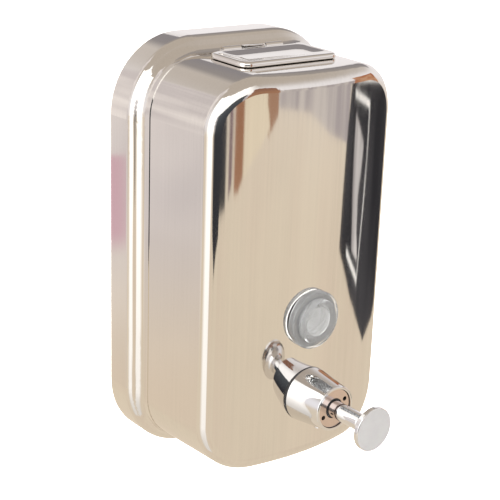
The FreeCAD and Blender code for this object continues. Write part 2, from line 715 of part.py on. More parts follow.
def make_end_cap():
    disc = rod("cap_disc", CAP_RADIUS, CAP_REAR, "cap_length", VALVE_LEVEL)
    way = rod("cap_way", "shaft_radius + cap_gap", f"{CAP_REAR} - 1", "cap_length + 2", VALVE_LEVEL)
    pocket = rod("cap_pocket", SEAL_RADIUS, f"{CAP_REAR} + cap_lip", "cap_length", VALVE_LEVEL)
    spanner = [rod(f"spanner_hole_{side}", "spanner_radius", f"{CAP_REAR} + cap_length - spanner_depth",
                   "spanner_depth + 1", f"{VALVE_LEVEL} + {way_sign} * spanner_pitch * sin(spanner_turn)",
                   f"{way_sign} * spanner_pitch * cos(spanner_turn)")
               for side, way_sign in (("left", -1), ("right", 1))]
    finish(cut("end_cap", disc, fuse("cap_hollow", way, pocket, *spanner)), "end_cap")
    finish(ring("shaft_seal", f"{SEAL_RADIUS} - thread_gap", "shaft_radius + slide_gap",
                f"{CAP_REAR} + cap_lip", "cap_length - cap_lip - seal_sunk", VALVE_LEVEL), "shaft_seal")


def make_plunger():
    rim = rod("button_disc", "button_radius", f"{BUTTON_FACE} - button_rim", "button_rim", VALVE_LEVEL)
    flare = rod("button_flare_rod", "button_radius", BUTTON_REAR, "button_flare", VALVE_LEVEL)
    scoop_ring = "shaft_radius + slide_gap + button_flare + 0.2"
    scoop = primitive("Part::Torus", "button_scoop",
                      {"Radius1": scoop_ring, "Radius2": "button_flare"})
    put(scoop, OUTWARD, "0", f"-{BUTTON_REAR}", VALVE_LEVEL)
    socket = rod("button_socket", "spigot_radius + thread_gap", f"{BUTTON_REAR} - 1",
                 "spigot_length + 1.5", VALVE_LEVEL)
    neck = cut("button_neck", flare, scoop)
    solid = fuse("button_solid", rim, neck)
    face = sheet.body_depth + sheet.button_reach
    soft = rounded("button_soft", solid, sheet.button_round, circle_at(sheet.button_radius, face))
    finish(cut("push_button", soft, socket), "push_button")

    shaft = rod("shaft_bar", "shaft_radius", PISTON_FRONT, f"{BUTTON_REAR} - {PISTON_FRONT}", VALVE_LEVEL)
    front = rod("shaft_spigot", "spigot_radius", BUTTON_REAR, "spigot_length", VALVE_LEVEL)
    tail_start = f"({PISTON_REAR} - tail_length)"
    tail = rod("shaft_tail", "spigot_radius", tail_start, f"{PISTON_FRONT} - {tail_start}", VALVE_LEVEL)
    finish(fuse("plunger_shaft", shaft, front, tail), "plunger_shaft")

    blank = ring("piston_blank", PISTON_RADIUS, "spigot_radius + thread_gap", PISTON_REAR,
                 "piston_length", VALVE_LEVEL)
    starts = {"rear": f"({PISTON_REAR} + groove_inset)",
              "front": f"({PISTON_FRONT} - groove_inset - groove_width)"}
    grooves = [ring(f"groove_{side}", f"{PISTON_RADIUS} + 1", GROOVE_RADIUS, start, "groove_width",
                    VALVE_LEVEL) for side, start in starts.items()]
    finish(cut("piston", blank, fuse("piston_grooves", *grooves)), "piston")
    seals = [ring(f"piston_seal_{side}", "bore_radius - slide_gap", f"{GROOVE_RADIUS} + thread_gap",
                  f"{start} + thread_gap", "groove_width - 2 * thread_gap", VALVE_LEVEL)
             for side, start in starts.items()]
    finish(fuse("piston_seals", *seals), "piston_seals")
    finish(hexagon("piston_nut", "tail_nut", "spigot_radius + thread_gap",
                   f"{PISTON_REAR} - tail_length + 0.4", "tail_length - 0.4", VALVE_LEVEL), "piston_nut")


def make_inlet():
    finish(ring("spring_seat", "bore_radius - thread_gap", "seat_bore", f"{SPRING_SEAT} - seat_sheet",
                "seat_sheet", VALVE_LEVEL), "spring_seat")
    finish(ring("ball_seat", f"{CAGE_RADIUS} - thread_gap", "inlet_radius", STEM_REAR, "seat_sheet",
                VALVE_LEVEL), "ball_seat")
    ball = primitive("Part::Sphere", "check_ball", {"Radius": "ball_radius"})
    put(ball, OUTWARD, "0",
        f"-({STEM_REAR} + seat_sheet + sqrt(ball_radius^2 - inlet_radius^2) + ball_gap)", VALVE_LEVEL)
    finish(ball, "check_ball")

    disc = rod("inlet_disc", "stem_radius - inlet_step", f"{STEM_REAR} - inlet_length",
               "inlet_length", VALVE_LEVEL)
    nipple = rod("inlet_nipple", "nipple_radius", f"{STEM_REAR} - inlet_length - nipple_length",
                 "nipple_length + 0.5", VALVE_LEVEL)
    way = rod("inlet_way", "inlet_radius - 0.5", f"{STEM_REAR} - inlet_length - nipple_length - 1",
              "inlet_length + nipple_length + 2", VALVE_LEVEL)
    finish(cut("inlet_cap", fuse("inlet_solid", disc, nipple), way), "inlet_cap")


def make_tube():
    """Rigid elbow: back from the inlet, round a quarter turn, down to the tank floor."""
    def elbow(name, radius, extra):
        run = rod(f"{name}_run", radius, f"{TUBE_DEPTH} + tube_bend",
                  f"tube_run + {extra} - 0.2", VALVE_LEVEL)
        bend = primitive("Part::Torus", f"{name}_bend", {"Radius1": "tube_bend", "Radius2": radius})
        bend.Angle3 = 90
        turn = FreeCAD.Rotation(FreeCAD.Vector(0, 1, 0), 90) * FreeCAD.Rotation(FreeCAD.Vector(0, 0, 1), 90)
        put(bend, turn, "0", f"-({TUBE_DEPTH} + tube_bend)", f"{VALVE_LEVEL} - tube_bend")
        drop_low = f"({TANK_FLOOR} + foot_gap - {extra})"
        drop = post(f"{name}_drop", radius, drop_low, f"{VALVE_LEVEL} - tube_bend - {drop_low}", TUBE_DEPTH)
        return fuse(f"{name}_path", run, bend, drop)

    finish(cut("intake_tube", elbow("tube_outside", TUBE_RADIUS, "0"),
               elbow("tube_inside", f"{TUBE_RADIUS} - tube_wall", "1")), "intake_tube")


def make_spring():
    """Coil spring between its seat and the piston."""
    helix = primitive("Part::Helix", "spring_line", {
        "Pitch": "spring_pitch", "Radius": SPRING_RADIUS,
        "Height": f"{PISTON_REAR} - {SPRING_SEAT} - 2 * spring_wire - 0.2",
    })
    wire = primitive("Part::Circle", "spring_section", {"Radius": "spring_wire"})
    wire.Placement = FreeCAD.Placement(FreeCAD.Vector(), FreeCAD.Rotation(FreeCAD.Vector(1, 0, 0), 90))
    bind(wire, {"Placement.Base.x": SPRING_RADIUS})
    coil = doc.addObject("Part::Sweep", "return_spring")
    coil.Sections = [wire]
    coil.Spine = (helix, [])
    coil.Solid = True
    coil.Frenet = True
    put(coil, OUTWARD, "0", f"-({SPRING_SEAT} + spring_wire + 0.1)", VALVE_LEVEL)
    finish(coil, "return_spring")


def check_and_write():
    doc.recompute()
    faults = [f"{o.Name}: {o.State}" for o in doc.Objects if {"Invalid", "Error"} & set(o.State)]
    for node, item in finished.items():
        shape = item.Shape
        if shape.isNull() or not shape.isValid() or not shape.Solids:
            faults.append(f"{node}: bad shape")
    if faults:
        raise RuntimeError("; ".join(faults))
    os.makedirs("parts", exist_ok=True)
    for node, item in finished.items():
        item.Shape.exportStep(os.path.join("parts", f"{node}.step"))
        print(f"{node}: {len(item.Shape.Solids)} solid(s), {item.Shape.Volume:.1f} mm3")


outside, inside = make_tank()
make_rim(outside)
make_wall_mount()
make_lid()
make_sight(outside, inside)
make_valve_body(outside, inside)
make_end_cap()
make_plunger()
make_inlet()
make_tube()
make_spring()
check_and_write()
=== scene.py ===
"""Wall mounted soap dispenser: finishes, fine pieces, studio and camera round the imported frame.

The frame holds every hard part in metres. This file dresses those parts, builds the few pieces
that need a finer mesh than the frame has, and sets a plain studio round them.
"""

import json
import logging
import math
from dataclasses import dataclass, field
from enum import Enum

import bmesh
import bpy
from mathutils import Matrix, Vector


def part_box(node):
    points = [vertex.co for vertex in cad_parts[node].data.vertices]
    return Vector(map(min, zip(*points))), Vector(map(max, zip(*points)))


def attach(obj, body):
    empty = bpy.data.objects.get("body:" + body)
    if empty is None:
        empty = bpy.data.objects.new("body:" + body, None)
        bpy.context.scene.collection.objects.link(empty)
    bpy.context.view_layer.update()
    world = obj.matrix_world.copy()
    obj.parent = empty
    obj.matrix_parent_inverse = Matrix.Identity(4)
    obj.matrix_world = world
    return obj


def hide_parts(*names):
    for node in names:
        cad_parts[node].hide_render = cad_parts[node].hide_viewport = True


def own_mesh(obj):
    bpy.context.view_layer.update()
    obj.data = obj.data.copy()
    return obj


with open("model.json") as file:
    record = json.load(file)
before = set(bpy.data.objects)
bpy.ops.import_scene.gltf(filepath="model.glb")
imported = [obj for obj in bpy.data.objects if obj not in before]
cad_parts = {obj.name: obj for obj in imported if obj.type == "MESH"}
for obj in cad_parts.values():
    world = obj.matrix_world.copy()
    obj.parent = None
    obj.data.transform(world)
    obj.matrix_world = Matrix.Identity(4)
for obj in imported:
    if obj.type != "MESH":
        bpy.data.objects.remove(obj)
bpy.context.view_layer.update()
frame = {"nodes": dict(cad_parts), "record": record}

Colour = tuple[float, float, float]
Bearing = tuple[float, float]
Range = tuple[float, float]
Ring = list[bmesh.types.BMVert]

FULL: Range = (0.0, 1.0)
QUARTER = math.pi / 2
MILLIMETRES = 1000.0

log = logging.getLogger("soap_dispenser")


# ---- node trees -------------------------------------------------------------------------------

@dataclass(frozen=True)
class Noise:
    """A fractal noise: its repeats a metre on each axis, its octaves and how rough they are."""

    per_metre: tuple[float, float, float]
    detail: float = 3.0
    rough: float = 0.5


class Sheet:
    """A node tree under construction, with short calls for the nodes that the finishes share."""

    def __init__(self, tree: bpy.types.NodeTree) -> None:
        """Take over a tree and empty it.

        Args:
            tree: the node tree of a material or of the world.
        """
        self.tree = tree
        tree.nodes.clear()

    def feed(self, node: bpy.types.Node, inputs: dict[str | int, object]) -> bpy.types.Node:
        """Give a node its inputs: a socket is linked, and a value is set on the node itself.

        Args:
            node: the node to feed.
            inputs: values or output sockets, by the input's name or place.

        Returns:
            The same node.
        """
        for name, value in inputs.items():
            if isinstance(value, bpy.types.NodeSocket):
                self.tree.links.new(value, node.inputs[name])
            else:
                node.inputs[name].default_value = value
        return node

    def node(self, kind: str, inputs: dict[str | int, object] | None = None,
             **settings: object) -> bpy.types.Node:
        """Add a node.

        Args:
            kind: the node's type.
            inputs: values or output sockets for its inputs, by name or place.
            settings: properties of the node itself.

        Returns:
            The new node.
        """
        made = self.tree.nodes.new(kind)
        for name, value in settings.items():
            setattr(made, name, value)
        return self.feed(made, inputs or {})

    def place(self, per_metre: tuple[float, float, float]) -> bpy.types.NodeSocket:
        """Object coordinates times a number of repeats a metre along each axis."""
        here = self.node("ShaderNodeTexCoord").outputs["Object"]
        return self.node("ShaderNodeMapping", {"Vector": here, "Scale": per_metre}).outputs[0]

    def noise(self, kind: Noise) -> bpy.types.NodeSocket:
        """Lay a fractal noise on the object's coordinates.

        Args:
            kind: how fine and how rough it is.

        Returns:
            Its height, from 0 to 1.
        """
        return self.node("ShaderNodeTexNoise", {
            "Vector": self.place(kind.per_metre), "Scale": 1.0, "Detail": kind.detail,
            "Roughness": kind.rough,
        }).outputs["Fac"]

    def span(self, value: bpy.types.NodeSocket, source: Range,
             target: Range) -> bpy.types.NodeSocket:
        """Carry a value from one range to another, held inside the second.

        Args:
            value: what is carried.
            source: the range that it comes from.
            target: the range that it goes to, in the same order.

        Returns:
            The carried value.
        """
        return self.node("ShaderNodeMapRange", {
            "Value": value, "From Min": source[0], "From Max": source[1],
            "To Min": target[0], "To Max": target[1],
        }).outputs["Result"]

    def ease(self, value: bpy.types.NodeSocket, low: float, high: float) -> bpy.types.NodeSocket:
        """Ease from 0 at the first value to 1 at the second.

        Args:
            value: what is eased.
            low: where the result is 0.
            high: where it is 1.

        Returns:
            The eased value.
        """
        return self.node("ShaderNodeMapRange", {
            "Value": value, "From Min": low, "From Max": high,
        }, interpolation_type="SMOOTHSTEP").outputs["Result"]

    def maths(self, how: str, first: object, second: object = 0.0) -> bpy.types.NodeSocket:
        """One step of arithmetic on two values."""
        return self.node("ShaderNodeMath", {0: first, 1: second}, operation=how).outputs[0]

    def blend(self, share: object, first: object, second: object) -> bpy.types.NodeSocket:
        """Mix two colours by a share from 0 to 1."""
        return self.node("ShaderNodeMix", {0: share, 6: first, 7: second},
                         data_type="RGBA").outputs[2]

    def bump(self, height: bpy.types.NodeSocket, depth: float,
             under: bpy.types.NodeSocket | None = None) -> bpy.types.NodeSocket:
        """Normals of a small relief.

        Args:
            height: the relief, from 0 to 1.
            depth: its depth in metres.
            under: normals of a relief that this one lies on.

        Returns:
            The normal socket.
        """
        made = self.node("ShaderNodeBump", {"Height": height, "Distance": depth, "Strength": 1.0})
        return self.feed(made, {"Normal": under} if under is not None else {}).outputs["Normal"]

    def close(self, shader: bpy.types.Node) -> None:
        """Lead a shader to the output of its own kind of tree.

        Args:
            shader: the last shader of the tree.
        """
        kind = ("ShaderNodeOutputWorld" if shader.bl_idname == "ShaderNodeBackground"
                else "ShaderNodeOutputMaterial")
        self.node(kind, {"Surface": shader.outputs[0]})


def opaque(colour: Colour) -> tuple[float, float, float, float]:
    """A colour with full alpha."""
    return (*colour, 1.0)


def shade(colour: Colour, share: float) -> tuple[float, float, float, float]:
    """A colour made darker or lighter by a share."""
    return opaque(tuple(min(1.0, c * share) for c in colour))


# ---- finishes ---------------------------------------------------------------------------------

@dataclass(frozen=True)
class Finish:
    """What every finish has: a name and a main colour.

    In every finish, `gloss` is the roughness at its two ends, `tint` is the share of the main
    colour at its two ends, a spread is the part of a noise that is used, and a depth is in metres.
    """

    name: str
    colour: Colour

    def material(self) -> bpy.types.Material:
        """Build the finish.

        Returns:
            The material, ready for a slot.
        """
        made = bpy.data.materials.new(self.name)
        made.use_nodes = True
        made.diffuse_color = opaque(self.colour)
        sheet = Sheet(made.node_tree)
        shader = sheet.node("ShaderNodeBsdfPrincipled", {"Base Color": opaque(self.colour)})
        self.lay(sheet, shader)
        sheet.close(shader)
        return made

    def tones(self, sheet: Sheet, share: bpy.types.NodeSocket, tint: Range,
              colour: Colour | None = None) -> bpy.types.NodeSocket:
        """Blend between two strengths of a colour.

        Args:
            sheet: the finish's node tree.
            share: how much of the second strength shows.
            tint: the two strengths.
            colour: the colour, or None for the finish's own.

        Returns:
            The blended colour.
        """
        first, second = (shade(colour or self.colour, strength) for strength in tint)
        return sheet.blend(share, first, second)

    def lay(self, sheet: Sheet, shader: bpy.types.Node) -> None:
        """Set and wire the shader; each finish has its own."""
        raise NotImplementedError


class Grain(Enum):
    """Which way the polishing marks of a sheet run."""

    UPRIGHT = Noise((900.0, 900.0, 9.0), 4.0, 0.7)
    ACROSS = Noise((9.0, 900.0, 900.0), 4.0, 0.7)


@dataclass(frozen=True)
class PolishedSheet(Finish):
    """Mirror polished stainless sheet: faint polishing marks, slow ripples, wiped patches, painted
    highlights on convex edges.
    """

    grain: Grain = Grain.UPRIGHT
    mark_depth: float = 1.0e-6
    ripples: Noise = Noise((17.0, 17.0, 7.0), 1.0, 0.4)
    ripple_depth: float = 5.0e-5
    patches: Noise = Noise((26.0, 26.0, 17.0), 3.0, 0.6)
    patch_spread: Range = (0.35, 0.75)
    patch_weight: Range = (0.6, 1.3)
    gloss_spread: Range = (0.15, 0.85)
    gloss: Range = (0.030, 0.085)
    tint_spread: Range = (0.2, 0.8)
    tint: Range = (1.03, 0.95)
    # the edge_ fields set a painted highlight: a lighter colour on convex edges
    edge_spread: Range = (0.5, 0.56)
    edge_weight: Range = (0.0, 0.5)
    edge_tint: float = 1.08

    def lay(self, sheet: Sheet, shader: bpy.types.Node) -> None:
        """Lay marks, ripples, patches and a painted highlight on convex edges.

        Args:
            sheet: the finish's node tree.
            shader: the shader that it ends in.
        """
        marks = sheet.noise(self.grain.value)
        wiped = sheet.span(sheet.noise(self.patches), self.patch_spread, self.patch_weight)
        film = sheet.maths("MULTIPLY", marks, wiped)
        # painted highlight: where the mesh is pointy, on convex edges, the colour is lighter
        edges = sheet.node("ShaderNodeNewGeometry").outputs["Pointiness"]
        edge_highlight = sheet.span(edges, self.edge_spread, self.edge_weight)
        body = self.tones(sheet, sheet.span(film, self.tint_spread, FULL), self.tint)
        slow = sheet.bump(sheet.noise(self.ripples), self.ripple_depth)
        sheet.feed(shader, {
            "Metallic": 1.0,
            "Roughness": sheet.span(film, self.gloss_spread, self.gloss),
            "Base Color": sheet.blend(edge_highlight, body, shade(self.colour, self.edge_tint)),
            "Normal": sheet.bump(marks, self.mark_depth, slow),
        })


@dataclass(frozen=True)
class ChromePlate(Finish):
    """Bright plate on turned brass: near mirror, with fine turning marks under the plate."""

    gloss: Range = (0.02, 0.06)
    film: Noise = Noise((140.0, 140.0, 140.0), 4.0, 0.6)
    film_spread: Range = (0.3, 0.75)
    tint: Range = (1.04, 0.96)
    turning: Noise = Noise((60.0, 1600.0, 60.0), 2.0)
    depth: float = 1.2e-6

    def lay(self, sheet: Sheet, shader: bpy.types.Node) -> None:
        """Lay the turning marks and a thin film.

        Args:
            sheet: the finish's node tree.
            shader: the shader that it ends in.
        """
        film = sheet.noise(self.film)
        sheet.feed(shader, {
            "Metallic": 1.0,
            "Roughness": sheet.span(film, self.film_spread, self.gloss),
            "Base Color": self.tones(sheet, film, self.tint),
            "Normal": sheet.bump(sheet.noise(self.turning), self.depth),
        })


@dataclass(frozen=True)
class SatinFace(Finish):
    """Chrome plate whose forward face is satined: dull and fine grained, with a bright edge."""

    satin: Colour = (0.33, 0.33, 0.335)
    facing: Range = (0.93, 0.985)
    cloud: Noise = Noise((160.0, 160.0, 160.0))
    cloud_spread: Range = (0.3, 0.7)
    dull: Range = (0.40, 0.50)
    bright: Range = (0.03, 0.06)
    tint: Range = (1.06, 0.94)
    metal: Range = (1.0, 0.35)
    grit: Noise = Noise((2600.0, 2600.0, 2600.0), 3.0, 0.6)
    depth: float = 6.0e-6

    def lay(self, sheet: Sheet, shader: bpy.types.Node) -> None:
        """Lay satin where the surface looks forward, and leave the rest bright.

        Args:
            sheet: the finish's node tree.
            shader: the shader that it ends in.
        """
        normal = sheet.node("ShaderNodeNewGeometry").outputs["Normal"]
        inward = sheet.node("ShaderNodeSeparateXYZ", {0: normal}).outputs[1]
        face = sheet.span(sheet.maths("MULTIPLY", inward, -1.0), self.facing, FULL)
        cloud = sheet.noise(self.cloud)
        bright, dull = (sheet.span(cloud, self.cloud_spread, end)
                        for end in (self.bright, self.dull))
        sheet.feed(shader, {
            "Roughness": sheet.node("ShaderNodeMix", {0: face, 2: bright, 3: dull}).outputs[0],
            "Base Color": sheet.blend(face, opaque(self.colour),
                                      self.tones(sheet, cloud, self.tint, self.satin)),
            "Metallic": sheet.span(face, FULL, self.metal),
            "Normal": sheet.bump(sheet.maths("MULTIPLY", sheet.noise(self.grit), face),
                                 self.depth),
        })


@dataclass(frozen=True)
class ZincPlate(Finish):
    """Bright zinc on rolled steel: small crystals, rolled streaks and a dull bloom."""

    crystals: tuple[float, float, float] = (420.0, 420.0, 420.0)
    streaks: Noise = Noise((30.0, 500.0, 500.0), 3.0, 0.6)
    spread: Range = (0.0, 0.6)
    gloss: Range = (0.24, 0.46)
    tint: Range = (0.92, 1.1)
    depth: float = 3.0e-6

    def lay(self, sheet: Sheet, shader: bpy.types.Node) -> None:
        """Lay crystals over streaks.

        Args:
            sheet: the finish's node tree.
            shader: the shader that it ends in.
        """
        cells = sheet.node("ShaderNodeTexVoronoi", {
            "Vector": sheet.place(self.crystals), "Scale": 1.0}).outputs["Color"]
        crystal = sheet.node("ShaderNodeSeparateColor", {0: cells}).outputs[0]
        mixed = sheet.maths("MULTIPLY", crystal, sheet.noise(self.streaks))
        sheet.feed(shader, {
            "Metallic": 1.0,
            "Roughness": sheet.span(mixed, self.spread, self.gloss),
            "Base Color": self.tones(sheet, mixed, self.tint),
            "Normal": sheet.bump(mixed, self.depth),
        })


@dataclass(frozen=True)
class DrawnSteel(Finish):
    """Bright drawn or turned steel with fine lengthwise marks."""

    marks: Noise = Noise((60.0, 1500.0, 1500.0), 3.0, 0.6)
    spread: Range = (0.2, 0.8)
    gloss: Range = (0.12, 0.28)
    tint: Range = (0.9, 1.08)
    depth: float = 3.0e-6

    def lay(self, sheet: Sheet, shader: bpy.types.Node) -> None:
        """Lay the drawing marks.

        Args:
            sheet: the finish's node tree.
            shader: the shader that it ends in.
        """
        marks = sheet.noise(self.marks)
        sheet.feed(shader, {
            "Metallic": 1.0,
            "Roughness": sheet.span(marks, self.spread, self.gloss),
            "Base Color": self.tones(sheet, marks, self.tint),
            "Normal": sheet.bump(marks, self.depth),
        })


@dataclass(frozen=True)
class MouldedRubber(Finish):
    """Black moulded rubber: fine skin, dusty bloom on high spots."""

    skin: Noise = Noise((1800.0, 1800.0, 1800.0), 4.0, 0.6)
    depth: float = 2.0e-5
    bloom: Noise = Noise((90.0, 90.0, 90.0))
    bloom_spread: Range = (0.3, 0.7)
    gloss: Range = (0.42, 0.62)
    dust_spread: Range = (0.4, 0.9)
    dust_weight: Range = (0.0, 0.6)
    tint: Range = (1.0, 2.4)
    shine: float = 0.4

    def lay(self, sheet: Sheet, shader: bpy.types.Node) -> None:
        """Lay skin and bloom.

        Args:
            sheet: the finish's node tree.
            shader: the shader that it ends in.
        """
        bloom = sheet.noise(self.bloom)
        dust = sheet.span(bloom, self.dust_spread, self.dust_weight)
        sheet.feed(shader, {
            "Specular IOR Level": self.shine,
            "Roughness": sheet.span(bloom, self.bloom_spread, self.gloss),
            "Base Color": self.tones(sheet, dust, self.tint),
            "Normal": sheet.bump(sheet.noise(self.skin), self.depth),
        })


@dataclass(frozen=True)
class ClearPlastic(Finish):
    """Clear moulded plastic: faint flow lines, a light haze and fine rub marks."""

    ior: float = 1.49
    clearness: float = 0.84
    flow: Noise = Noise((70.0, 220.0, 70.0), 3.0, 0.6)
    depth: float = 3.0e-5
    tint: Range = (1.0, 0.94)
    rubs: Noise = Noise((700.0, 700.0, 60.0), 3.0, 0.7)
    rub_spread: Range = (0.35, 0.8)
    gloss: Range = (0.02, 0.12)

    def lay(self, sheet: Sheet, shader: bpy.types.Node) -> None:
        """Lay flow lines and haze on a clear body.

        Args:
            sheet: the finish's node tree.
            shader: the shader that it ends in.
        """
        flow = sheet.noise(self.flow)
        sheet.feed(shader, {
            "IOR": self.ior,
            "Transmission Weight": self.clearness,
            "Roughness": sheet.span(sheet.noise(self.rubs), self.rub_spread, self.gloss),
            "Base Color": self.tones(sheet, flow, self.tint),
            "Normal": sheet.bump(flow, self.depth),
        })


@dataclass(frozen=True)
class MattePlastic(Finish):
    """White engineering plastic: a soft mould skin that lets a little light in."""

    skin: Noise = Noise((900.0, 900.0, 900.0), 3.0, 0.6)
    depth: float = 1.2e-5
    cloud: Noise = Noise((60.0, 60.0, 60.0), 2.0)
    cloud_spread: Range = (0.3, 0.7)
    gloss: Range = (0.36, 0.50)
    tint: Range = (1.0, 0.93)
    inner_light: float = 0.08
    inner_reach: float = 0.002

    def lay(self, sheet: Sheet, shader: bpy.types.Node) -> None:
        """Lay the mould skin.

        Args:
            sheet: the finish's node tree.
            shader: the shader that it ends in.
        """
        cloud = sheet.noise(self.cloud)
        sheet.feed(shader, {
            "Subsurface Weight": self.inner_light,
            "Subsurface Radius": (self.inner_reach,) * 3,
            "Roughness": sheet.span(cloud, self.cloud_spread, self.gloss),
            "Base Color": self.tones(sheet, cloud, self.tint),
            "Normal": sheet.bump(sheet.noise(self.skin), self.depth),
        })


STEEL: Colour = (0.80, 0.775, 0.745)
BRIGHT: Colour = (0.80, 0.80, 0.81)
SHELL_STEEL = PolishedSheet("polished_steel", STEEL)
LID_STEEL = PolishedSheet("lid_steel", STEEL, grain=Grain.ACROSS, ripple_depth=1.0e-5)
CHROME = ChromePlate("chrome_plate", BRIGHT)
SATIN = SatinFace("satin_button", BRIGHT)
ZINC = ZincPlate("zinc_steel", (0.60, 0.61, 0.63))
SPRING = DrawnSteel("spring_steel", (0.66, 0.66, 0.67))
RUBBER = MouldedRubber("black_rubber", (0.018, 0.018, 0.019))
CLEAR = ClearPlastic("clear_plastic", (0.80, 0.81, 0.81))
WHITE = MattePlastic("white_plastic", (0.82, 0.82, 0.80))
CAP = ChromePlate("warm_cap", (0.74, 0.615, 0.565), gloss=(0.14, 0.24))
# painted shade: a near-black finish for the dark pieces in the cap's gap and its spanner holes
PAINTED_SHADE = MouldedRubber("dark_grease", (0.012, 0.009, 0.007))


class Wardrobe:
    """Keeps one material for each finish and dresses objects with it."""

    def __init__(self) -> None:
        """Start with no material made."""
        self.made: dict[str, bpy.types.Material] = {}

    def dress(self, piece: bpy.types.Object, finish: Finish) -> None:
        """Give every slot of a piece the finish.

        Args:
            piece: the object to dress.
            finish: what it gets.
        """
        if finish.name not in self.made:
            self.made[finish.name] = finish.material()
        material = self.made[finish.name]
        if not piece.material_slots:
            piece.data.materials.append(material)
        for slot in piece.material_slots:
            slot.material = material
        log.info("%s: %s", piece.name, finish.name)


# ---- mesh tools -------------------------------------------------------------------------------

def circle(sides: int) -> list[tuple[float, float]]:
    """Cosine and sine of equal turns round a full circle."""
    turns = [2 * math.pi * side / sides for side in range(sides)]
    return [(math.cos(turn), math.sin(turn)) for turn in turns]


def join_rings(work: bmesh.types.BMesh, rings: list[Ring], ends: tuple[int, ...] = (0, -1),
               looped: bool = False) -> None:
    """Skin a row of rings with four sided faces.

    Args:
        work: the mesh that the rings are in.
        rings: the rings, each with as many vertices.
        ends: places of the rings that are closed with a face of their own.
        looped: whether the last ring joins the first.
    """
    for first, second in zip(rings, rings[1:] + rings[:1] if looped else rings[1:]):
        for place, _ in enumerate(first):
            after = (place + 1) % len(first)
            work.faces.new((first[place], first[after], second[after], second[place]))
    for place in ends:
        work.faces.new(rings[place])


def smooth_piece(name: str, work: bmesh.types.BMesh) -> bpy.types.Object:
    """Turn a finished bmesh into a smooth shaded object in the scene.

    Args:
        name: the piece's name.
        work: its mesh, freed here.

    Returns:
        The new object.
    """
    bmesh.ops.recalc_face_normals(work, faces=work.faces)
    mesh = bpy.data.meshes.new(name)
    work.to_mesh(mesh)
    work.free()
    for polygon in mesh.polygons:
        polygon.use_smooth = True
    piece = bpy.data.objects.new(name, mesh)
    bpy.context.scene.collection.objects.link(piece)
    return piece


def keep_piece(piece: bpy.types.Object, body: str, slot: str, *nodes: str) -> None:
    """Tie a new piece to the frame.

    Args:
        piece: the piece.
        body: the body that it moves with.
        slot: the record's material slot of the piece; not used.
        nodes: the frame's nodes that it stands for.
    """
    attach(piece, body)
    if nodes:
        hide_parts(*nodes)


# ---- sub-assemblies ---------------------------------------------------------------------------

@dataclass
class CadParts:
    """The frame's own parts, each dressed by the record's slot or by a finish of its own."""

    by_slot: dict[str, Finish] = field(default_factory=lambda: {
        finish.name: finish for finish in (
            SHELL_STEEL, CHROME, SATIN, ZINC, SPRING, RUBBER, CLEAR, WHITE)})
    own: dict[str, Finish] = field(default_factory=lambda: {
        "refill_lid": LID_STEEL, "hinge_bracket": LID_STEEL, "end_cap": CAP})

    def dress(self, wardrobe: Wardrobe) -> None:
        """Dress every node of the frame.

        Args:
            wardrobe: where the finishes come from.
        """
        slots = {row["node"]: row["material_slot"] for row in frame["record"]["subparts"]}
        for name, node in sorted(frame["nodes"].items()):
            wardrobe.dress(node, self.own.get(name, self.by_slot[slots[name]]))


